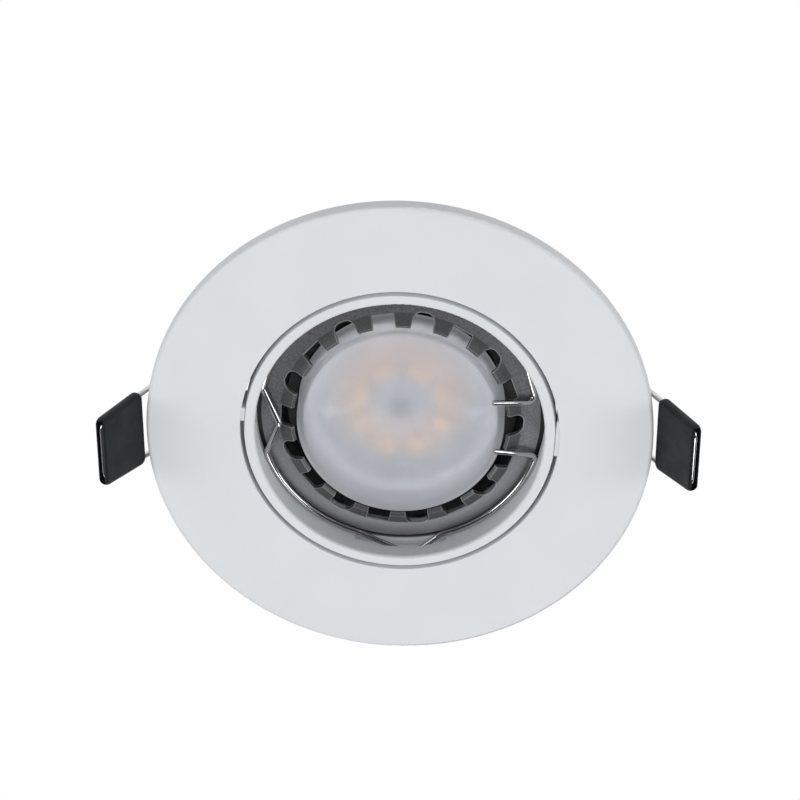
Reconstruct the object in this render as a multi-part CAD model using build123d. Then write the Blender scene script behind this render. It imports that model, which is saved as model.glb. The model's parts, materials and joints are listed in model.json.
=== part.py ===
from build123d import *
import math
import os

# A recessed ceiling spotlight with a tilting ring, two sprung clips and a two-pin LED bulb.
# Millimetres. +Z points up into the ceiling, and the light face points down.
# The origin is the centre of the flange's seat, the plane that meets the ceiling.
# +X runs through the clips. Depths are counted upwards from the light face.

# Bulb's rim, which sets the rings around it
lamp_diameter = 49.8
lamp_side_clearance = 0.85
seat_overlap = 2.1

# Trim ring: flange, collar and spring ears
flange_diameter = 90.0
flange_thickness = 3.6
flange_edge_radius = 0.6
rim_taper_width = 2.0
rim_taper_height = 0.9
collar_wall = 2.45
collar_depth = 11.0
ear_thickness = 1.6
ear_spacing = 6.8
ear_wall = 1.1

# Tilt ring: its outside is part of a ball, so it turns in the collar's bore
ring_gap = 0.55
ring_wall = 2.05
ring_edge_radius = 0.15
ring_mouth_radius = 0.5
seat_depth = 8.3
seat_lip_thickness = 1.4
tilt_axis_depth = 3.5
tilt_axis_turn = 4.5
window_angles = (90.7, 270.7)
window_width = 16.5
window_front_depth = 3.6
window_height = 3.6

# Pivots: a flat on each side of the tilt ring faces a pad in the collar's bore
pivot_flat_depth = 0.3
pivot_flat_margin = 0.3
pad_gap = 0.1
pad_front_depth = 0.3
right_pad_width = 7.0
left_pad_width = 2.6
pad_offset = -1.1

# Pivot pins, pushed in from inside the tilt ring
pivot_pin_radius = 1.25
pivot_head_radius = 2.0
pivot_head_height = 0.6
pivot_hole_depth = 1.6
running_clearance = 0.05
press_clearance = 0.01
end_clearance = 0.15

# Retaining wire that keeps the bulb on its seat
retainer_wire = 1.0
retainer_clearance = 0.05
retainer_start_angle = 17.2
retainer_end_angle = 352.0
retainer_end_lead = 22.0
retainer_end_inset = 0.8
retainer_end_bend = 8.0
retainer_tip_angle = -0.7
retainer_tip_reach = 8.45
retainer_tip_spread = 9.85
retainer_tip_rise = 3.4
retainer_rim_drop = 0.9
retainer_arc_step = 24.0
bump_angles = (87.3, 267.3)
bump_root_inset = 0.9
bump_top_width = 3.2
bump_height = 2.4
bump_bend = 4.0
bump_lead = 1.0
kink_angle = 178.1
kink_width = 13.3
kink_depth = 3.6
wire_bend = 1.2

# Spring clips
clip_wire = 1.0
clip_angle = 57.0
clip_axis_gap = 2.8
clip_rim_clearance = 0.1
clip_spread_coil = 15.0
clip_spread_tip = 11.8
clip_reach = 12.7
right_clip_skew = 1.0
left_clip_skew = 0.4
clip_bend = 1.8
coil_turns = 2
coil_pitch = 1.12
coil_clearance = 0.1
coil_tail = 3.5
coil_bend_share = 0.9
spring_pin_radius = 1.5
spring_pin_head_radius = 2.2
spring_pin_head_height = 0.8
side_clearance = 0.3

# Black sleeves on the clips
sleeve_length = 11.8
sleeve_overhang = 0.5
sleeve_wall = 0.4
sleeve_clearance = 0.1
sleeve_corner = 1.4
sleeve_edge_share = 0.85

# Bulb: cast housing with its toothed bezel and fins
bezel_edge_depth = 6.3
bezel_width = 3.3
bezel_root_depth = 5.1
tooth_length = 2.6
tooth_tip_depth = 3.3
tooth_thickness = 1.2
tooth_bevel_length = 0.55
tooth_bevel_depth = 0.8
tooth_count = 18
tooth_turn = 2.0
slot_width = 4.0
slot_square_inset = 0.3
slot_round_outset = 0.3
slot_corner = 1.6
groove_wall = 0.6
groove_floor_width = 2.1
groove_floor_depth = 11.0
body_clearance = 0.2
body_back_depth = 37.0
body_back_radius = 14.8
fin_count = 18
fin_slot_width = 3.0
fin_height = 2.3
fin_front_depth = 12.6
cavity_radius = 11.0
cavity_front_depth = 15.5

# Bulb: lens, LED board and its parts
lens_side_gap = 0.5
lens_front_depth = 3.3
lens_wall = 1.2
lens_edge_radius = 0.9
board_seat_depth = 10.5
board_thickness = 1.5
board_clearance = 0.3
lead_hole_radius = 2.2
chip_count = 8
chip_ring_radius = 8.0
chip_length = 3.6
chip_width = 2.8
chip_height = 0.7
board_screw_count = 2
board_screw_radius = 0.9
board_screw_head_radius = 1.5
board_screw_head_height = 1.0
board_screw_length = 4.0
board_screw_ring_radius = 13.0

# Bulb: base, contact pins and driver
spigot_clearance = 0.1
spigot_height = 4.0
base_shoulder_radius = 12.6
base_shoulder_height = 2.5
base_taper_height = 4.5
base_neck_radius = 9.0
base_back_depth = 52.4
base_edge_radius = 0.8
base_wall = 1.5
contact_spacing = 10.0
contact_neck_radius = 1.6
contact_neck_length = 4.2
contact_head_radius = 2.5
contact_head_height = 2.8
contact_edge_radius = 0.4
contact_root_length = 5.0
driver_board_thickness = 1.2
driver_board_front_gap = 1.0
driver_edge_clearance = 0.1
capacitor_radius = 4.0
capacitor_length = 11.0
inductor_radius = 4.2
inductor_height = 5.0
part_seat_gap = 0.05

# Heights and radii that follow from the sizes above
face_z = -flange_thickness
flange_radius = flange_diameter / 2
rim_corner_z = -rim_taper_height
lamp_radius = lamp_diameter / 2
ring_bore = lamp_radius + lamp_side_clearance
ball_radius = ring_bore + ring_wall
bore_radius = ball_radius + ring_gap
collar_radius = bore_radius + collar_wall
collar_top = face_z + collar_depth
clip_axis_x = collar_radius + clip_axis_gap
tilt_z = face_z + tilt_axis_depth
seat_bore = lamp_radius - seat_overlap
seat_z = face_z + seat_depth
ring_back = seat_z + seat_lip_thickness
pivot_turn = Rot(0, 0, tilt_axis_turn)
pivot_flat = ball_radius - pivot_flat_depth
pad_half_height = tilt_axis_depth - pad_front_depth
retainer_tip_radius = ring_bore - retainer_tip_reach
bezel_root_radius = lamp_radius - bezel_width
tooth_tip_radius = bezel_root_radius - tooth_length
body_radius = seat_bore - body_clearance
body_back = face_z + body_back_depth
lens_radius = tooth_tip_radius - lens_side_gap
board_seat = face_z + board_seat_depth
board_top = board_seat - board_thickness
board_radius = lens_radius - lens_wall - board_clearance
cavity_front = face_z + cavity_front_depth
base_back = face_z + base_back_depth
base_cavity_radius = base_neck_radius - base_wall
# An arc corner keeps this share of its full radius, which leaves a short straight between two arcs
near_full = 0.97

# Line of the clip's arm: it rests on the rim's back corner and is a tangent of the coil
coil_radius = spring_pin_radius + coil_clearance + clip_wire / 2
arm_slope = math.radians(clip_angle)
arm_along = Vector(math.cos(arm_slope), 0, -math.sin(arm_slope))
arm_off = Vector(math.sin(arm_slope), 0, math.cos(arm_slope))


def spread_at(station, length):
    """Half the distance between a clip's two legs, at a station along the arm."""
    share = station / length
    return (clip_spread_coil + (clip_spread_tip - clip_spread_coil) * share) / 2


def arm_to_rim():
    """Length of the arm from the coil's tangent point to the rim's corner, and the tangent point."""
    length = 0.0
    rounds = 6
    for _ in range(rounds):
        half = spread_at(length, length + clip_reach)
        corner_x = math.sqrt(flange_radius**2 - half**2)
        corner = Vector(corner_x, 0, rim_corner_z)
        on_rim = corner + arm_off * (clip_wire / 2 + clip_rim_clearance)
        length = (on_rim.X - coil_radius * arm_off.X - clip_axis_x) / arm_along.X
    return length, on_rim - arm_along * length


rim_station, arm_start = arm_to_rim()
arm_length = rim_station + clip_reach
coil_axis = arm_start - arm_off * coil_radius
clip_axis_z = coil_axis.Z


def turned(*section):
    """A round piece turned about the lamp's axis from half of its section, in radius and height."""
    return revolve(Plane.XZ * make_face(Polyline(*section, close=True)), Axis.Z)


def round_edges(piece, radius, height):
    """The circular edges of a turned piece at one radius and height."""
    near = 0.01

    def at_place(edge):
        same_height = abs(edge.arc_center.Z - height) < near
        return same_height and abs(edge.radius - radius) < near

    return piece.edges().filter_by(GeomType.CIRCLE).filter_by(at_place)


def rod_along_x(radius, start, end, height):
    """A round rod along the turned tilt axis, from one distance to another."""
    rod = Pos(start, 0, height) * Rot(0, 90, 0) * Cylinder(
        radius, end - start, align=(Align.CENTER, Align.CENTER, Align.MIN)
    )
    return pivot_turn * rod


def both_sides(piece):
    """The piece and its copy half a turn round."""
    return piece + Rot(0, 0, 180) * piece


def upright(radius, bottom, top):
    """A round rod on the lamp's axis between two heights."""
    return Pos(0, 0, bottom) * Cylinder(
        radius, top - bottom, align=(Align.CENTER, Align.CENTER, Align.MIN)
    )


def wire_along(points, bends, diameter):
    """A bent wire: straight runs joined by arcs, with one bend radius for each corner."""
    path = FilletPolyline(*points, radius=bends)
    return sweep(Plane(path @ 0, z_dir=path % 0) * Circle(diameter / 2), path=path)


def spring_ear():
    """One cast ear, in the plane y = 0: a post on the flange with a round head about the spring pin."""
    head_radius = spring_pin_radius + ear_wall
    inside = (bore_radius + collar_radius) / 2
    inner = clip_axis_x - head_radius
    outer = clip_axis_x + head_radius
    root = face_z / 2
    outline = Polyline(
        (inside, root),
        (outer, root),
        (outer, clip_axis_z),
        (inner, clip_axis_z),
        (inner, collar_top),
        (inside, collar_top),
        close=True,
    )
    head = Pos(clip_axis_x, clip_axis_z) * Circle(head_radius)
    return extrude(Plane.XZ * (make_face(outline) + head), ear_thickness / 2, both=True)


def spring_pin_rod(radius, half_length):
    """A round rod on the spring pin's axis."""
    rod = Cylinder(radius, 2 * half_length)
    return Pos(clip_axis_x, 0, clip_axis_z) * Rot(90, 0, 0) * rod


def pivot_pad(width, offset):
    """Right pivot's pad, which closes the gap between the collar's bore and the tilt ring's flat."""
    inner = pivot_flat + pad_gap
    outer = (bore_radius + collar_radius) / 2
    pad = Box(outer - inner, width, 2 * pad_half_height)
    return pivot_turn * Pos((inner + outer) / 2, offset, tilt_z) * pad


def pivot_flat_cut(width):
    """What the right pivot's flat takes off the tilt ring: a disc that clears the turning pad."""
    radius = math.hypot(width / 2 + abs(pad_offset), pad_half_height) + pivot_flat_margin
    return rod_along_x(radius, pivot_flat, bore_radius, tilt_z)


def make_trim_ring():
    """White cast ring: flange with a tapered back edge, collar, two ears and a pivot pad on each side."""
    ring = turned(
        (bore_radius, face_z),
        (flange_radius, face_z),
        (flange_radius, rim_corner_z),
        (flange_radius - rim_taper_width, 0),
        (collar_radius, 0),
        (collar_radius, collar_top),
        (bore_radius, collar_top),
    )
    ring = fillet(round_edges(ring, flange_radius, face_z), flange_edge_radius)
    ring = fillet(round_edges(ring, bore_radius, face_z), ring_edge_radius)
    ears = Pos(0, ear_spacing / 2, 0) * spring_ear() + Pos(0, -ear_spacing / 2, 0) * spring_ear()
    ears -= spring_pin_rod(spring_pin_radius + press_clearance, ear_spacing)
    outside = both_sides(ears) - upright(bore_radius, face_z, collar_top)
    ring += outside
    ring += pivot_pad(right_pad_width, pad_offset)
    ring += Rot(0, 0, 180) * pivot_pad(left_pad_width, -pad_offset)
    hole_end = bore_radius + pivot_hole_depth
    hole = rod_along_x(pivot_pin_radius + running_clearance, pivot_flat, hole_end, tilt_z)
    return ring - both_sides(hole)


def make_tilt_ring():
    """White cast ring with a ball-shaped outside, a seat lip, two pivot flats and two wire windows."""
    ring = turned(
        (ring_bore, face_z),
        (ball_radius, face_z),
        (ball_radius, ring_back),
        (seat_bore, ring_back),
        (seat_bore, seat_z),
        (ring_bore, seat_z),
    )
    ring &= Pos(0, 0, tilt_z) * Sphere(ball_radius)
    front_radius = math.sqrt(ball_radius**2 - tilt_axis_depth**2)
    ring = fillet(round_edges(ring, front_radius, face_z), ring_edge_radius)
    ring = fillet(round_edges(ring, ring_bore, face_z), ring_mouth_radius)
    ring -= pivot_flat_cut(right_pad_width)
    ring -= Rot(0, 0, 180) * pivot_flat_cut(left_pad_width)
    ring -= both_sides(rod_along_x(pivot_pin_radius + press_clearance, lamp_radius, bore_radius, tilt_z))
    head_floor = ring_bore + pivot_head_height + end_clearance
    ring -= both_sides(rod_along_x(pivot_head_radius + press_clearance, lamp_radius, head_floor, tilt_z))
    window = Box(bore_radius - bezel_root_radius, window_width, window_height)
    window_middle = face_z + window_front_depth + window_height / 2
    for angle in window_angles:
        ring -= Rot(0, 0, angle) * Pos((bore_radius + bezel_root_radius) / 2, 0, window_middle) * window
    return ring


def make_pivot_pin():
    """Right pivot pin: a flush head inside the tilt ring and a shank that turns in the collar."""
    head_end = ring_bore + pivot_head_height + end_clearance
    head = rod_along_x(pivot_head_radius, head_end - pivot_head_height, head_end, tilt_z)
    shank_end = bore_radius + pivot_hole_depth - end_clearance
    return head + rod_along_x(pivot_pin_radius, head_end, shank_end, tilt_z)


def make_retaining_ring():
    """Bent spring wire: an open ring with a kink, two outward bumps and two ends bent over the lens."""
    radius = ring_bore - retainer_clearance - retainer_wire / 2
    height = face_z + bezel_edge_depth - retainer_rim_drop
    bezel_slope = (bezel_edge_depth - bezel_root_depth) / (lamp_radius - bezel_root_radius)
    points = []
    bends = []

    def corner(distance, angle, bend=wire_bend, lift=0.0):
        turn = math.radians(angle)
        points.append((distance * math.cos(turn), distance * math.sin(turn), height - lift))
        bends.append(bend)

    def half_angle(width):
        return math.degrees(width / 2 / radius)

    def arc(first, last):
        count = max(1, round((last - first) / retainer_arc_step))
        share = (last - first) / count
        for index in range(count):
            reach = radius / math.cos(math.radians(share / 2))
            corner(reach, first + share * (index + 0.5), near_full * radius)

    def bump(angle, window_angle):
        root = half_angle(window_width) - math.degrees(bump_root_inset / radius)
        top = half_angle(bump_top_width)
        corner(radius, window_angle - root, bump_bend)
        corner(radius + bump_height, angle - top, bump_bend)
        corner(radius + bump_height, angle + top, bump_bend)
        corner(radius, window_angle + root, bump_bend)

    def kink(angle):
        half = half_angle(kink_width)
        corner(radius, angle - half)
        corner(radius - kink_depth, angle, lift=bezel_slope * kink_depth + retainer_clearance)
        corner(radius, angle + half)

    def tip(side):
        spread = math.degrees(math.asin(retainer_tip_spread / 2 / retainer_tip_radius))
        corner(retainer_tip_radius, retainer_tip_angle + side * spread, lift=retainer_tip_rise)

    near_window = half_angle(window_width) + math.degrees((bump_lead - bump_root_inset) / radius)
    tip(1)
    corner(radius, retainer_start_angle)
    arc(retainer_start_angle, window_angles[0] - near_window)
    bump(bump_angles[0], window_angles[0])
    arc(window_angles[0] + near_window, kink_angle - half_angle(kink_width))
    kink(kink_angle)
    arc(kink_angle + half_angle(kink_width), window_angles[1] - near_window)
    bump(bump_angles[1], window_angles[1])
    leaves_wall = retainer_end_angle - retainer_end_lead
    arc(window_angles[1] + near_window, leaves_wall)
    corner(radius, leaves_wall, retainer_end_bend)
    corner(radius - retainer_end_inset, retainer_end_angle)
    tip(-1)
    return wire_along(points, bends[1:-1], retainer_wire)


def make_spring(skew):
    """Right clip: one wire with a tail and a coil at each end and a skewed U-shaped arm between them."""

    def place(along, off, side):
        at = coil_axis + arm_along * along + arm_off * off
        return (at.X, side, at.Z)

    def half_path(sign):
        around = ((-1, 1), (-1, -1), (1, -1), (1, 1))
        corners = 4 * coil_turns + 2
        outer = clip_spread_coil / 2
        tail_side = outer - coil_pitch * (corners - 1) / 4
        tip_spread = spread_at(arm_length, arm_length)
        tip_along = arm_length - sign * skew / 2
        leg = [place(tip_along, coil_radius, sign * tip_spread)]
        for index in range(corners):
            along, off = around[index % 4]
            side = outer - coil_pitch * index / 4
            leg.append(place(along * coil_radius, off * coil_radius, sign * side))
        leg.append(place(coil_tail, -coil_radius, sign * tail_side))
        return leg

    first = half_path(1)
    second = half_path(-1)
    points = first[::-1] + second
    coil_corners = len(first) - 2
    coil_bend = coil_bend_share * coil_radius
    bends = [coil_bend] * coil_corners + [clip_bend] * 2 + [coil_bend] * coil_corners
    return wire_along(points, bends, clip_wire)


def sleeve_outline(inner_end, outer_end, margin, skew):
    """Outline of a sleeve in the arm's plane, a margin outside the legs' centre lines."""
    corners = []
    for station, sign in ((inner_end, -1), (outer_end, -1), (outer_end, 1), (inner_end, 1)):
        along = station - sign * skew / 2
        corners.append((along, sign * (spread_at(station, arm_length) + margin)))
    return make_face(Polyline(*corners, close=True))


def runs_along_arm(edge):
    """Whether an edge is straight and runs along the arm, give or take its taper."""
    nearly_parallel = 0.9
    return edge.geom_type == GeomType.LINE and abs((edge % 0).dot(arm_along)) > nearly_parallel


def make_sleeve(skew):
    """Right sleeve: a flattened tube, open at both ends, over the arm's outer half."""
    plane = Plane(arm_start, x_dir=arm_along, z_dir=arm_off)
    inside = clip_wire / 2 + sleeve_clearance
    outside = inside + sleeve_wall
    outer_end = arm_length + clip_wire / 2 + sleeve_overhang
    inner_end = outer_end - sleeve_length
    shell = extrude(plane * sleeve_outline(inner_end, outer_end, outside, skew), outside, both=True)
    shell = fillet(shell.edges().filter_by(Axis(plane.origin, plane.z_dir)), sleeve_corner)
    shell = fillet(shell.edges().filter_by(runs_along_arm), sleeve_edge_share * outside)
    slot = sleeve_outline(inner_end - sleeve_length, outer_end + sleeve_length, inside, skew)
    return shell - extrude(plane * slot, inside, both=True)


def make_spring_pin():
    """Right spring pin: a steel pin through both ears, with a head outside each coil."""
    head_start = clip_spread_coil / 2 + clip_wire / 2 + side_clearance
    pin = spring_pin_rod(spring_pin_radius, head_start)
    head_end = head_start + spring_pin_head_height
    heads = spring_pin_rod(spring_pin_head_radius, head_end)
    heads -= spring_pin_rod(2 * spring_pin_head_radius, head_start)
    return pin + heads


def bezel_slot(outer_radius, corner):
    """One opening of the bezel: a slot between two teeth, closed at its outer end."""
    start = lens_radius - lens_wall
    bottom = face_z + tooth_tip_depth - tooth_thickness
    top = face_z + bezel_edge_depth + tooth_thickness
    middle = (start + outer_radius) / 2
    slot = Pos(middle, 0, (bottom + top) / 2) * Box(outer_radius - start, slot_width, top - bottom)
    ends = slot.edges().filter_by(Axis.Z).group_by(Axis.X)[-1]
    return fillet(ends, corner)


def fin_slot():
    """One gap between two cooling fins, following the housing's taper."""
    front = face_z + fin_front_depth
    back = body_back + fin_height
    slope = (body_radius - body_back_radius) / (body_back - seat_z)
    front_floor = body_radius - slope * (front - seat_z) - fin_height
    back_floor = body_radius - slope * (back - seat_z) - fin_height
    outline = Polyline(
        (front_floor, front),
        (lamp_radius, front),
        (lamp_radius, back),
        (back_floor, back),
        close=True,
    )
    return extrude(Plane.XZ * make_face(outline), fin_slot_width / 2, both=True)


def make_lamp_housing():
    """Dark grey cast housing: rim, toothed bezel over a blind groove, finned body, driver cavity."""
    root_z = face_z + bezel_root_depth
    tip_z = face_z + tooth_tip_depth
    crest_z = tip_z + (root_z - tip_z) * tooth_bevel_length / tooth_length
    housing = turned(
        (0, board_seat),
        (lens_radius, board_seat),
        (lens_radius, face_z + groove_floor_depth),
        (lens_radius + groove_floor_width, face_z + groove_floor_depth),
        (body_radius - groove_wall, root_z + tooth_thickness),
        (tooth_tip_radius, tip_z + tooth_thickness),
        (tooth_tip_radius, tip_z + tooth_bevel_depth),
        (tooth_tip_radius + tooth_bevel_length, crest_z),
        (bezel_root_radius, root_z),
        (lamp_radius, face_z + bezel_edge_depth),
        (lamp_radius, seat_z),
        (body_radius, seat_z),
        (body_back_radius, body_back),
        (cavity_radius, body_back),
        (cavity_radius, cavity_front),
        (0, cavity_front),
    )
    pitch = 360 / tooth_count
    for index in range(tooth_count):
        turn = Rot(0, 0, -90 + tooth_turn + pitch * (index + 0.5))
        if index % 2:
            housing -= turn * bezel_slot(bezel_root_radius - slot_square_inset, press_clearance)
        else:
            housing -= turn * bezel_slot(bezel_root_radius + slot_round_outset, slot_corner)
    gap = fin_slot()
    for index in range(fin_count):
        housing -= Rot(0, 0, 360 / fin_count * index) * gap
    housing -= upright(lead_hole_radius, board_seat, cavity_front)
    screw_end = board_seat + board_screw_length + end_clearance
    for place in screw_places():
        housing -= place * upright(board_screw_radius + press_clearance, board_seat, screw_end)
    return housing


def make_lens():
    """Frosted cup: a flat front with a rounded edge, and a wall that stands on the housing."""
    front = face_z + lens_front_depth
    lens = turned(
        (0, front),
        (lens_radius, front),
        (lens_radius, board_seat),
        (lens_radius - lens_wall, board_seat),
        (lens_radius - lens_wall, front + lens_wall),
        (0, front + lens_wall),
    )
    return fillet(round_edges(lens, lens_radius, front), lens_edge_radius)


def screw_places():
    """Where the LED board's screws stand."""
    pitch = 360 / board_screw_count
    return [Rot(0, 0, pitch * index) * Pos(board_screw_ring_radius) for index in range(board_screw_count)]


def make_led_board():
    """Round metal-core board with its screw holes and the hole for its leads."""
    board = upright(board_radius, board_top, board_seat)
    board -= upright(lead_hole_radius, board_top, board_seat)
    for place in screw_places():
        board -= place * upright(board_screw_radius + running_clearance, board_top, board_seat)
    return board


def make_led_chips():
    """The LED packages, in a ring on the board."""
    chip = Pos(chip_ring_radius, 0, board_top - chip_height / 2) * Box(chip_width, chip_length, chip_height)
    return [Rot(0, 0, 360 / chip_count * (index + 0.5)) * chip for index in range(chip_count)]


def make_board_screws():
    """The screws that hold the LED board to the housing."""
    head = upright(board_screw_head_radius, board_top - board_screw_head_height, board_top)
    shank = upright(board_screw_radius, board_top, board_seat + board_screw_length)
    return [place * (head + shank) for place in screw_places()]


def make_lamp_base():
    """Pale insulating base: a spigot in the housing, a shoulder, a taper and a round neck."""
    shoulder_end = body_back + base_shoulder_height
    taper_end = shoulder_end + base_taper_height
    spigot_radius = cavity_radius - spigot_clearance
    inside_end = base_back - contact_root_length
    base = turned(
        (base_cavity_radius, body_back - spigot_height),
        (spigot_radius, body_back - spigot_height),
        (spigot_radius, body_back),
        (base_shoulder_radius, body_back),
        (base_shoulder_radius, shoulder_end),
        (base_neck_radius, taper_end),
        (base_neck_radius, base_back),
        (0, base_back),
        (0, inside_end),
        (base_cavity_radius, inside_end),
    )
    base = fillet(round_edges(base, base_neck_radius, base_back), base_edge_radius)
    for side in (-1, 1):
        hole = upright(contact_neck_radius + press_clearance, inside_end, base_back)
        base -= Pos(side * contact_spacing / 2) * hole
    return base


def make_contact_pin():
    """Right contact pin: a neck in the base and a wider head."""
    neck_end = base_back + contact_neck_length
    head_end = neck_end + contact_head_height
    neck = upright(contact_neck_radius, base_back - contact_root_length, neck_end)
    head = upright(contact_head_radius, neck_end, head_end)
    head = fillet(round_edges(head, contact_head_radius, head_end), contact_edge_radius)
    return Pos(contact_spacing / 2) * (neck + head)


def make_driver_board():
    """Driver board on edge in the cavity, its back end held by the base's inside."""
    front = cavity_front + driver_board_front_gap
    back = base_back - contact_root_length - end_clearance
    reach = base_cavity_radius - driver_edge_clearance
    half = math.sqrt(reach**2 - (driver_board_thickness / 2) ** 2)
    board = Box(2 * half, driver_board_thickness, back - front)
    return Pos(0, 0, (front + back) / 2) * board


def make_capacitor():
    """Round capacitor, lying along the driver board."""
    start = cavity_front + 2 * driver_board_front_gap
    off = driver_board_thickness / 2 + part_seat_gap + capacitor_radius
    return Pos(0, off, 0) * upright(capacitor_radius, start, start + capacitor_length)


def make_inductor():
    """Drum inductor, standing on the board's other face."""
    middle = cavity_front + 2 * driver_board_front_gap + inductor_radius
    near = -driver_board_thickness / 2 - part_seat_gap
    drum = Cylinder(inductor_radius, inductor_height)
    return Pos(0, near - inductor_height / 2, middle) * Rot(90, 0, 0) * drum


def across(piece):
    """The left copy of a right-hand piece, mirrored through the middle."""
    return mirror(piece, about=Plane.YZ)


def make_parts():
    """Every piece of the spotlight by name."""
    pivot_pin = make_pivot_pin()
    spring_pin = make_spring_pin()
    contact_pin = make_contact_pin()
    return {
        "trim_ring": make_trim_ring(),
        "tilt_ring": make_tilt_ring(),
        "right_pivot_pin": pivot_pin,
        "left_pivot_pin": Rot(0, 0, 180) * pivot_pin,
        "retaining_ring": make_retaining_ring(),
        "right_spring": make_spring(right_clip_skew),
        "left_spring": across(make_spring(left_clip_skew)),
        "right_spring_sleeve": make_sleeve(right_clip_skew),
        "left_spring_sleeve": across(make_sleeve(left_clip_skew)),
        "right_spring_pin": spring_pin,
        "left_spring_pin": across(spring_pin),
        "lamp_housing": make_lamp_housing(),
        "lens": make_lens(),
        "led_board": make_led_board(),
        "led_chips": Compound(children=make_led_chips()),
        "led_board_screws": Compound(children=make_board_screws()),
        "lamp_base": make_lamp_base(),
        "right_contact_pin": contact_pin,
        "left_contact_pin": across(contact_pin),
        "driver_board": make_driver_board(),
        "driver_capacitor": make_capacitor(),
        "driver_inductor": make_inductor(),
    }


os.makedirs("parts", exist_ok=True)
for name, piece in make_parts().items():
    export_step(piece, f"parts/{name}.step")
print("clip axis height", round(clip_axis_z, 3))
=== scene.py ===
"""Looks of a recessed tilting spotlight: finishes, floor, light and camera round the CAD frame.

Metres. +Z points up into the ceiling, so the light face points down and the camera looks up at it. The far side is
towards +Y, at the bottom of the picture.
"""
import json
import math

import bpy
from mathutils import Matrix, Vector


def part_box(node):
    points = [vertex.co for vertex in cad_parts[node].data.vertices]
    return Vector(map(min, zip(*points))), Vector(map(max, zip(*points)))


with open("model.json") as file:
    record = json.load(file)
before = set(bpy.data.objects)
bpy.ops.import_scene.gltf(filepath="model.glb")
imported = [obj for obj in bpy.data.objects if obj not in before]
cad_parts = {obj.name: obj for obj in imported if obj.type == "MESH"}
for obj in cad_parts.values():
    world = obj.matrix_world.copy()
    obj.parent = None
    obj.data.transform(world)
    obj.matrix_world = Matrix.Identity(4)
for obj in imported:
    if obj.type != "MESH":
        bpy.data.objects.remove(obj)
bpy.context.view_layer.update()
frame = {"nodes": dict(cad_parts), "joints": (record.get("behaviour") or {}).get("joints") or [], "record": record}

# Sizes read from the frame
face_centre = Vector((0, 0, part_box("trim_ring")[0].z))
housing_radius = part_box("lamp_housing")[1].x
lens_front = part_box("lens")[0].z
lens_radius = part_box("lens")[1].x
tilt_axis = Vector(next(joint["axis"] for joint in frame["joints"] if joint["name"] == "ring_tilt"))

# Photograph's view: how far the camera leans off the face's normal and rolls, and where the face's centre falls
picture_size = 800
sensor_width = 36.0
camera_distance = 0.9
camera_lean = math.radians(30.22)
camera_roll = math.radians(4.52)
pixels_per_metre = 5642.0
centre_pixel = (399.51, 432.92)

# Zones of tone, of painted shade and of painted light. A zone runs from where its tone starts to where it is full, as
# distances from the bulb's axis, or from a line shifted along Y. A height is above the flange's seat, and runs the
# same way.
far_side_shift = -0.012
# Painted shade on the ring's far wall and on the seat behind the bulb
ring_bore_zone = (0.0262, 0.0259)
ring_far_wall_shade_zone = (0.029, 0.038)
ring_seat_shade_height = (0.0030, 0.0036)

bezel_width = 0.0033
bezel_root = housing_radius - bezel_width
bezel_far_side_light_zone = (0.023, 0.037)
teeth_zone = (bezel_root + 0.0001, bezel_root - 0.0002)
groove_shade_zone = (bezel_root + 0.0006, bezel_root + 0.0003)
groove_front_height = (0.0028, 0.0036)
groove_back_height = (0.0086, 0.0082)
lead_hole_light_zone = (0.0030, 0.0026)

lens_far_shade_zone = (0.026, 0.034)
lens_wall_zone = (lens_radius - 0.0009, lens_radius - 0.0002)
lens_wall_height = (lens_front + 0.0005, lens_front + 0.0015)
lens_middle_zone = (0.0080, 0.0)

led_glow_shift = -0.0026
board_warm_zone = (0.0152, 0.0080)
board_cool_zone = (0.0080, 0.0034)
board_shade_shift = -0.004
board_shade_zone = (0.011, 0.019)
board_edge_zone = (0.0145, 0.0165)

# Studio: powers in watts
world_fill = 0.38
shine_power = 3.4
shine_size = (0.5, 0.5)
shine_place = Vector((0.08, 0.55, -0.95))
side_power = 3.2
side_size = (0.5, 0.5)
side_place = Vector((1.1, -0.25, -0.55))
fill_size = (2.5, 2.5)
front_power = 11.4
front_place = Vector((0.0, 0.0, -1.25))
back_power = 13.0
back_place = Vector((0.0, 0.0, 1.35))
card_height = -1.3
card_size = 10.0
floor_height = -1.4
floor_size = 12.0
floor_whiteness = 0.85


def add_node(tree, kind, inputs=None, **settings):
    """A new node with its settings and the values of its named inputs."""
    node = tree.nodes.new(kind)
    for name, value in settings.items():
        setattr(node, name, value)
    for name, value in (inputs or {}).items():
        node.inputs[name].default_value = value
    return node


def new_group(name, inputs, outputs):
    """An empty shader group with named number sockets, and its two end nodes."""
    tree = bpy.data.node_groups.new(name, "ShaderNodeTree")
    for label, value in inputs.items():
        socket = tree.interface.new_socket(label, in_out="INPUT", socket_type="NodeSocketFloat")
        socket.default_value = value
    for label in outputs:
        tree.interface.new_socket(label, in_out="OUTPUT", socket_type="NodeSocketFloat")
    return tree, tree.nodes.new("NodeGroupInput"), tree.nodes.new("NodeGroupOutput")


def make_grain_group():
    """Fine grain for bump, and broad patches for colour and gloss, both fixed to the piece."""
    tree, start, end = new_group(
        "coat_grain", {"Grains per metre": 3000.0, "Patches per metre": 120.0}, ("Height", "Patch")
    )
    place = add_node(tree, "ShaderNodeTexCoord")
    grain = add_node(tree, "ShaderNodeTexNoise", {"Detail": 3.0, "Roughness": 0.6})
    patch = add_node(tree, "ShaderNodeTexNoise", {"Detail": 2.0, "Roughness": 0.5})
    tree.links.new(place.outputs["Object"], grain.inputs["Vector"])
    tree.links.new(place.outputs["Object"], patch.inputs["Vector"])
    tree.links.new(start.outputs["Grains per metre"], grain.inputs["Scale"])
    tree.links.new(start.outputs["Patches per metre"], patch.inputs["Scale"])
    tree.links.new(grain.outputs["Fac"], end.inputs["Height"])
    tree.links.new(patch.outputs["Fac"], end.inputs["Patch"])
    return tree


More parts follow.
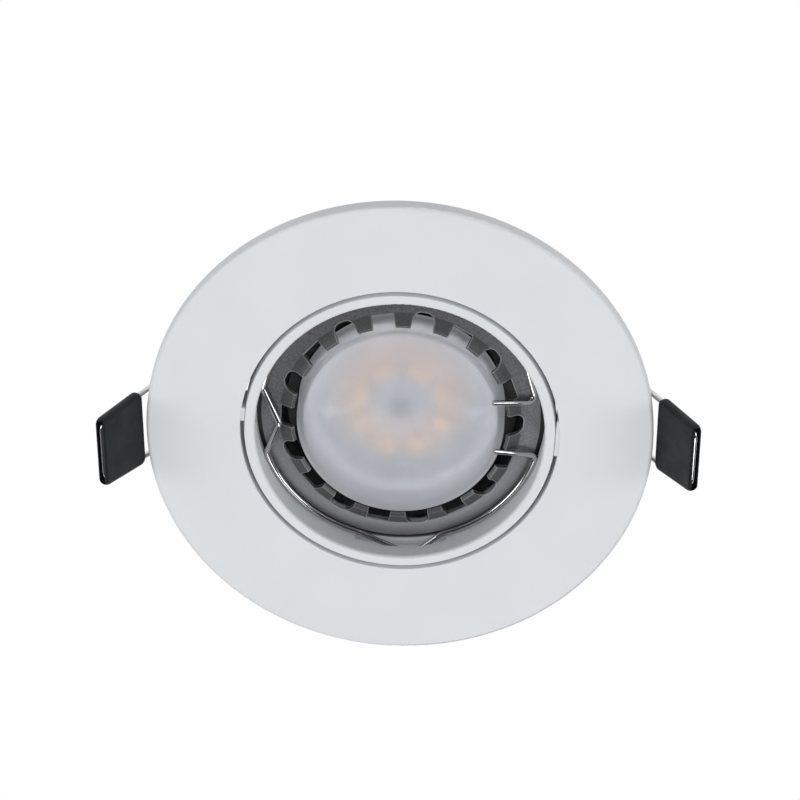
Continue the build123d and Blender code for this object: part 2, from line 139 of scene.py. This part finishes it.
def make_closeness_group(name, reach, inside):
    """A mask of what lies close to other surfaces: inner corners, or outer edges when it looks inside the piece."""
    tree, start, end = new_group(name, {"Reach": reach}, ("Mask",))
    open_share = add_node(tree, "ShaderNodeAmbientOcclusion", samples=8, inside=inside)
    flip = add_node(tree, "ShaderNodeMath", {0: 1.0}, operation="SUBTRACT")
    tree.links.new(start.outputs["Reach"], open_share.inputs["Distance"])
    tree.links.new(open_share.outputs["AO"], flip.inputs[1])
    tree.links.new(flip.outputs[0], end.inputs["Mask"])
    return tree


def make_axis_group():
    """The distance from the bulb's axis, or from a line beside it, as a number between two radii."""
    tree, start, end = new_group("from_bulb_axis", {"Start": 0.0, "Full": 0.02, "Shift": 0.0}, ("Share",))
    place = add_node(tree, "ShaderNodeTexCoord")
    shift = add_node(tree, "ShaderNodeCombineXYZ")
    moved = add_node(tree, "ShaderNodeVectorMath", operation="SUBTRACT")
    level = add_node(tree, "ShaderNodeVectorMath", {1: (1.0, 1.0, 0.0)}, operation="MULTIPLY")
    distance = add_node(tree, "ShaderNodeVectorMath", operation="LENGTH")
    share = add_node(tree, "ShaderNodeMapRange", interpolation_type="SMOOTHSTEP")
    tree.links.new(start.outputs["Shift"], shift.inputs["Y"])
    tree.links.new(place.outputs["Object"], moved.inputs[0])
    tree.links.new(shift.outputs["Vector"], moved.inputs[1])
    tree.links.new(moved.outputs["Vector"], level.inputs[0])
    tree.links.new(level.outputs["Vector"], distance.inputs[0])
    tree.links.new(distance.outputs["Value"], share.inputs["Value"])
    tree.links.new(start.outputs["Start"], share.inputs["From Min"])
    tree.links.new(start.outputs["Full"], share.inputs["From Max"])
    tree.links.new(share.outputs["Result"], end.inputs["Share"])
    return tree


grain_group = make_grain_group()
# Masks for painted shade in inner corners and painted highlights on outer edges.
corner_group = make_closeness_group("corner_shade", 0.002, inside=False)
edge_group = make_closeness_group("painted_edge_highlights", 0.0002, inside=True)
axis_group = make_axis_group()


class Finish:
    """A material under way: its shader, its tone so far, and the node chains that lead to them."""

    def __init__(self, name, metallic=0.0, **constants):
        self.material = bpy.data.materials.new(name)
        self.material.use_nodes = True
        self.tree = self.material.node_tree
        self.shader = self.tree.nodes["Principled BSDF"]
        self.shader.inputs["Metallic"].default_value = metallic
        for label, value in constants.items():
            self.shader.inputs[label.replace("_", " ")].default_value = value

    def link(self, source, target):
        self.tree.links.new(source, target)

    def group(self, tree, **values):
        node = add_node(self.tree, "ShaderNodeGroup", node_tree=tree)
        for label, value in values.items():
            node.inputs[label.replace("_", " ")].default_value = value
        return node

    def place(self):
        """Position in the part's frame."""
        return add_node(self.tree, "ShaderNodeTexCoord").outputs["Object"]

    def blend(self, factor, first, second):
        """Colour between two colours, or between a chain and a colour."""
        mix = add_node(self.tree, "ShaderNodeMix", data_type="RGBA")
        self.link(factor, mix.inputs["Factor"])
        for value, label in ((first, "A"), (second, "B")):
            socket = next(s for s in mix.inputs if s.name == label and s.type == "RGBA")
            if isinstance(value, tuple):
                socket.default_value = (*value, 1.0)
            else:
                self.link(value, socket)
        return next(s for s in mix.outputs if s.type == "RGBA")

    def ramp(self, value, low, high, start=0.3, end=0.7):
        """A number that goes from low to high as the value goes from start to end."""
        limits = {"From Min": start, "From Max": end, "To Min": low, "To Max": high}
        node = add_node(self.tree, "ShaderNodeMapRange", limits)
        self.link(value, node.inputs["Value"])
        return node.outputs["Result"]

    def product(self, first, second):
        """Two numbers multiplied."""
        node = add_node(self.tree, "ShaderNodeMath", operation="MULTIPLY")
        self.link(first, node.inputs[0])
        self.link(second, node.inputs[1])
        return node.outputs[0]

    def zone(self, limits, shift=0.0):
        """Mask that fills between two distances from the bulb's axis, or from a line beside it."""
        start, full = limits
        return self.group(axis_group, Start=start, Full=full, Shift=shift).outputs["Share"]

    def height_zone(self, limits):
        """Mask that fills between two heights above the flange's seat."""
        parts = add_node(self.tree, "ShaderNodeSeparateXYZ")
        self.link(self.place(), parts.inputs[0])
        return self.ramp(parts.outputs["Z"], 0.0, 1.0, *limits)

    def paint(self, tone):
        """Sets the finish's tone."""
        self.tone = tone
        self.link(tone, self.shader.inputs["Base Color"])

    def cover(self, mask, colour):
        """Lays a colour over the tone where the mask is full."""
        self.paint(self.blend(mask, self.tone, colour))

    def relief(self, height, depth):
        bump = add_node(self.tree, "ShaderNodeBump", {"Distance": depth, "Strength": 1.0})
        self.link(height, bump.inputs["Height"])
        self.link(bump.outputs["Normal"], self.shader.inputs["Normal"])


def coated(name, pale, deep, gloss, grains, patches, depth, metallic=0.0, **constants):
    """A finish of two close tones in patches, with a range of roughness and a fine grain."""
    finish = Finish(name, metallic, **constants)
    grain = finish.group(grain_group, Grains_per_metre=grains, Patches_per_metre=patches)
    finish.paint(finish.blend(finish.ramp(grain.outputs["Patch"], 0.0, 1.0), pale, deep))
    finish.link(finish.ramp(grain.outputs["Patch"], *gloss), finish.shader.inputs["Roughness"])
    finish.relief(grain.outputs["Height"], depth)
    return finish


def darken_corners(finish, shade_colour, reach, most):
    """Paints shade into a finish's inner corners: a darker colour where other surfaces lie close."""
    corner = finish.group(corner_group, Reach=reach)
    finish.cover(finish.ramp(corner.outputs["Mask"], 0.0, most, start=0.25, end=1.0), shade_colour)


def make_white_enamel():
    """Matt white enamel, with painted shade in its corners, on the far wall of the ring's bore and, near black, behind
    the bulb.
    """
    finish = coated(
        "white_enamel",
        pale=(0.785, 0.812, 0.838),
        deep=(0.77, 0.797, 0.823),
        gloss=(0.5, 0.6),
        grains=1600,
        patches=90,
        depth=0.000012,
        Specular_IOR_Level=0.2,
    )
    # Painted shade in the inner corners.
    darken_corners(finish, shade_colour=(0.66, 0.68, 0.70), reach=0.0006, most=0.25)
    # Painted shade on the far wall of the ring's bore.
    bore = finish.zone(ring_bore_zone)
    far_wall_shade = finish.product(bore, finish.zone(ring_far_wall_shade_zone, far_side_shift))
    finish.cover(far_wall_shade, (0.58, 0.60, 0.62))
    # Painted shade, near black, on the seat behind the bulb's rim.
    seat = finish.product(bore, finish.height_zone(ring_seat_shade_height))
    finish.cover(seat, (0.10, 0.102, 0.106))
    return finish.material


def make_dark_casting():
    """Dark grey casting: a rim painted lighter towards its far side, darker teeth inside it, bright flecks, painted
    highlights on its edges, painted shade in its corners and groove, and painted light in its lead hole.
    """
    finish = coated(
        "dark_casting",
        pale=(0.27, 0.274, 0.285),
        deep=(0.16, 0.164, 0.175),
        gloss=(0.45, 0.55),
        grains=4200,
        patches=2600,
        depth=0.00003,
        metallic=0.75,
    )
    # Painted light: the rim paler towards its far side.
    far_side_light = finish.ramp(finish.zone(bezel_far_side_light_zone, far_side_shift), 0.0, 0.85, start=0.0, end=1.0)
    finish.cover(far_side_light, (0.52, 0.525, 0.54))
    finish.cover(finish.zone(teeth_zone), (0.15, 0.153, 0.16))

    speckle = add_node(finish.tree, "ShaderNodeTexNoise", {"Scale": 9000.0, "Detail": 1.0})
    finish.link(finish.place(), speckle.inputs["Vector"])
    flecks = finish.ramp(speckle.outputs["Fac"], 0.0, 0.6, start=0.62, end=0.75)
    finish.cover(flecks, (0.5, 0.503, 0.51))

    # Painted highlight along the outer edges.
    edges = finish.group(edge_group, Reach=0.00025)
    edge_highlight = finish.ramp(edges.outputs["Mask"], 0.0, 0.8, start=0.15, end=0.5)
    finish.cover(edge_highlight, (0.62, 0.625, 0.63))
    # Painted shade in the inner corners.
    darken_corners(finish, shade_colour=(0.05, 0.05, 0.053), reach=0.0008, most=0.15)

    # Painted shade: near black in the groove inside the bezel.
    depth = finish.product(finish.height_zone(groove_front_height), finish.height_zone(groove_back_height))
    finish.cover(finish.product(finish.zone(groove_shade_zone), depth), (0.02, 0.02, 0.021))
    # Painted light: the lead hole pale bluish grey, lighter than the shade in it.
    finish.cover(finish.zone(lead_hole_light_zone), (0.66, 0.70, 0.77))
    return finish.material


def make_frosted_lens():
    """Frosted lens, darker towards its far side as painted shade, whose wall and middle glow a little by emission as
    painted light, though the bulb is off.
    """
    finish = coated(
        "frosted_lens",
        pale=(0.80, 0.815, 0.84),
        deep=(0.78, 0.797, 0.825),
        gloss=(0.78, 0.86),
        grains=2600,
        patches=150,
        depth=0.00001,
        Transmission_Weight=0.82,
        IOR=1.2,
        Emission_Strength=1.0,
    )
    # Painted shade: the lens darker towards its far side.
    finish.cover(finish.zone(lens_far_shade_zone, far_side_shift), (0.715, 0.735, 0.772))
    # Painted light: the wall and middle glow by emission.
    middle = finish.zone(lens_middle_zone, led_glow_shift)
    wall = finish.product(finish.zone(lens_wall_zone), finish.height_zone(lens_wall_height))
    painted_glow = finish.blend(middle, (0.0, 0.0, 0.0), (0.034, 0.037, 0.043))
    painted_glow = finish.blend(wall, painted_glow, (0.12, 0.123, 0.128))
    finish.link(painted_glow, finish.shader.inputs["Emission Color"])
    return finish.material


def make_board_white():
    """White resist, warm beside the LED packages, cool grey about the lead hole and shaded on the far side."""
    finish = coated(
        "board_white",
        pale=(0.47, 0.48, 0.50),
        deep=(0.44, 0.45, 0.47),
        gloss=(0.35, 0.45),
        grains=3000,
        patches=200,
        depth=0.00001,
    )
    finish.cover(finish.zone(board_warm_zone, led_glow_shift), (0.63, 0.45, 0.37))
    finish.cover(finish.zone(board_cool_zone, led_glow_shift), (0.33, 0.365, 0.42))
    finish.cover(finish.zone(board_shade_zone, board_shade_shift), (0.26, 0.275, 0.30))
    finish.cover(finish.zone(board_edge_zone), (0.90, 0.90, 0.91))
    return finish.material


# Finishes with no zones of their own
plain_finishes = {
    "plated_wire": dict(
        pale=(0.68, 0.682, 0.69),
        deep=(0.58, 0.582, 0.592),
        gloss=(0.1, 0.15),
        grains=5000,
        patches=700,
        depth=0.000002,
        metallic=1.0,
    ),
    "pin_steel": dict(
        pale=(0.64, 0.64, 0.65),
        deep=(0.55, 0.55, 0.56),
        gloss=(0.25, 0.38),
        grains=5000,
        patches=600,
        depth=0.000006,
        metallic=1.0,
    ),
    "black_sleeve": dict(
        pale=(0.014, 0.0147, 0.017),
        deep=(0.010, 0.0105, 0.0125),
        gloss=(0.38, 0.5),
        grains=2200,
        patches=260,
        depth=0.00002,
        Specular_IOR_Level=0.2,
    ),
    "led_phosphor": dict(
        pale=(0.88, 0.56, 0.34),
        deep=(0.80, 0.50, 0.30),
        gloss=(0.3, 0.4),
        grains=4000,
        patches=900,
        depth=0.00001,
    ),
    "board_screw": dict(
        pale=(0.66, 0.67, 0.68),
        deep=(0.60, 0.61, 0.62),
        gloss=(0.5, 0.6),
        grains=3000,
        patches=600,
        depth=0.00001,
    ),
    "pale_base": dict(
        pale=(0.78, 0.77, 0.73),
        deep=(0.72, 0.71, 0.67),
        gloss=(0.4, 0.55),
        grains=2600,
        patches=180,
        depth=0.00003,
    ),
    "contact_nickel": dict(
        pale=(0.70, 0.68, 0.64),
        deep=(0.61, 0.59, 0.55),
        gloss=(0.18, 0.3),
        grains=5000,
        patches=500,
        depth=0.000005,
        metallic=1.0,
    ),
    "driver_laminate": dict(
        pale=(0.08, 0.26, 0.12),
        deep=(0.06, 0.20, 0.09),
        gloss=(0.35, 0.5),
        grains=3600,
        patches=400,
        depth=0.00002,
    ),
    "component_black": dict(
        pale=(0.04, 0.04, 0.045),
        deep=(0.025, 0.025, 0.03),
        gloss=(0.25, 0.4),
        grains=3000,
        patches=300,
        depth=0.00001,
    ),
}


def make_finishes():
    """Every finish by its name."""
    finishes = {
        "white_enamel": make_white_enamel(),
        "dark_casting": make_dark_casting(),
        "frosted_lens": make_frosted_lens(),
        "board_white": make_board_white(),
    }
    for name, values in plain_finishes.items():
        finishes[name] = coated(name, **values).material
    return finishes


def dress_frame(finishes):
    """Gives each CAD node the finish of its slot, and the screws behind the lens a coated one."""
    for part in frame["record"]["subparts"]:
        slot = part["material_slot"]
        if part["node"] == "led_board_screws":
            slot = "board_screw"
        mesh = frame["nodes"][part["node"]].data
        mesh.materials.clear()
        mesh.materials.append(finishes[slot])


def seen_directly(tree):
    """One where a ray comes from the camera, a mirror or a clear piece, and nought elsewhere."""
    path = add_node(tree, "ShaderNodeLightPath")
    first = add_node(tree, "ShaderNodeMath", operation="MAXIMUM")
    second = add_node(tree, "ShaderNodeMath", operation="MAXIMUM")
    tree.links.new(path.outputs["Is Camera Ray"], first.inputs[0])
    tree.links.new(path.outputs["Is Glossy Ray"], first.inputs[1])
    tree.links.new(first.outputs[0], second.inputs[0])
    tree.links.new(path.outputs["Is Transmission Ray"], second.inputs[1])
    return second.outputs[0]


def make_world():
    """A white surround to look at, and a softer one that lights the object."""
    world = bpy.data.worlds.new("white_studio")
    world.use_nodes = True
    bpy.context.scene.world = world
    tree = world.node_tree
    tree.nodes.clear()
    white = add_node(tree, "ShaderNodeBackground", {"Color": (1, 1, 1, 1), "Strength": 1.0})
    fill = add_node(tree, "ShaderNodeBackground", {"Color": (1, 1, 1, 1), "Strength": world_fill})
    mix = add_node(tree, "ShaderNodeMixShader")
    end = add_node(tree, "ShaderNodeOutputWorld")
    tree.links.new(seen_directly(tree), mix.inputs["Fac"])
    tree.links.new(fill.outputs[0], mix.inputs[1])
    tree.links.new(white.outputs[0], mix.inputs[2])
    tree.links.new(mix.outputs[0], end.inputs["Surface"])


def make_sheet(name, size, height, pale, deep, gloss):
    """A level square sheet of the studio, and its finish."""
    half = size / 2
    mesh = bpy.data.meshes.new(name)
    corners = [(x * half, y * half, height) for x, y in ((-1, -1), (1, -1), (1, 1), (-1, 1))]
    mesh.from_pydata(corners, [], [(0, 1, 2, 3)])
    sheet = bpy.data.objects.new(name, mesh)
    bpy.context.scene.collection.objects.link(sheet)
    finish = coated(name, pale, deep, gloss, grains=300, patches=3, depth=0.00005)
    mesh.materials.append(finish.material)
    return sheet, finish


def make_dark_card():
    """Dark card behind the shine light: only polished metal shows it, and gets its contrast from it."""
    card, _ = make_sheet(
        "dark_card", card_size, card_height, pale=(0.05, 0.05, 0.05), deep=(0.04, 0.04, 0.04), gloss=(0.7, 0.8)
    )
    card.visible_camera = False
    card.visible_diffuse = False
    card.visible_transmission = False
    card.visible_shadow = False


def make_floor():
    """Plain pale floor, well below the hanging spotlight and the camera."""
    _, finish = make_sheet(
        "pale_floor", floor_size, floor_height, pale=(0.86, 0.86, 0.86), deep=(0.84, 0.84, 0.84), gloss=(0.6, 0.7)
    )
    tree = finish.tree
    glow = add_node(tree, "ShaderNodeEmission", {"Color": (1, 1, 1, 1), "Strength": 1.0})
    amount = add_node(tree, "ShaderNodeMath", {1: floor_whiteness}, operation="MULTIPLY")
    mix = add_node(tree, "ShaderNodeMixShader")
    tree.links.new(seen_directly(tree), amount.inputs[0])
    tree.links.new(amount.outputs[0], mix.inputs["Fac"])
    tree.links.new(finish.shader.outputs[0], mix.inputs[1])
    tree.links.new(glow.outputs[0], mix.inputs[2])
    tree.links.new(mix.outputs[0], tree.nodes["Material Output"].inputs["Surface"])


def make_soft_light(name, place, size, power, lit=True, mirrored=False):
    """A soft light that faces the spotlight: it lights the surfaces, shows in polished ones, or both."""
    lamp = bpy.data.lights.new(name, "AREA")
    lamp.shape = "RECTANGLE"
    lamp.size, lamp.size_y = size
    lamp.energy = power
    light = bpy.data.objects.new(name, lamp)
    bpy.context.scene.collection.objects.link(light)
    light.location = place
    light.rotation_euler = (face_centre - place).to_track_quat("-Z", "Y").to_euler()
    light.visible_camera = False
    light.visible_diffuse = lit
    light.visible_glossy = mirrored


def make_lights():
    """One light for the wires' shine, one at each side, and a broad one before the face and behind it."""
    mirror_x = Vector((-1, 1, 1))
    make_soft_light("shine_light", shine_place, shine_size, shine_power, lit=False, mirrored=True)
    make_soft_light("right_light", side_place, side_size, side_power, mirrored=True)
    make_soft_light("left_light", side_place * mirror_x, side_size, side_power, mirrored=True)
    make_soft_light("front_fill", front_place, fill_size, front_power)
    make_soft_light("back_fill", back_place, fill_size, back_power)


def make_camera():
    """The photograph's view: below the face, off to one side of the tilt axis and slightly rolled."""
    down = Vector((0, 0, -1))
    across = tilt_axis.normalized()
    near = down.cross(across)
    back = near * math.sin(camera_lean) + down * math.cos(camera_lean)
    upright = near * math.cos(camera_lean) - down * math.sin(camera_lean)
    right = across * math.cos(camera_roll) + upright * math.sin(camera_roll)
    up = upright * math.cos(camera_roll) - across * math.sin(camera_roll)
    focal_pixels = pixels_per_metre * camera_distance
    shift_right = (picture_size / 2 - centre_pixel[0]) / focal_pixels
    shift_up = (centre_pixel[1] - picture_size / 2) / focal_pixels
    ahead = (right * shift_right + up * shift_up - back).normalized()
    right = ahead.cross(up).normalized()
    up = right.cross(ahead)
    turn = Matrix((right, up, -ahead)).transposed()
    lens = bpy.data.cameras.new("photo_view")
    lens.sensor_width = sensor_width
    lens.lens = sensor_width * focal_pixels / picture_size
    camera = bpy.data.objects.new("photo_view", lens)
    bpy.context.scene.collection.objects.link(camera)
    camera.matrix_world = Matrix.Translation(face_centre + back * camera_distance) @ turn.to_4x4()
    bpy.context.scene.camera = camera


bpy.context.scene.view_settings.view_transform = "Standard"
dress_frame(make_finishes())
make_world()
make_floor()
make_dark_card()
make_lights()
make_camera()
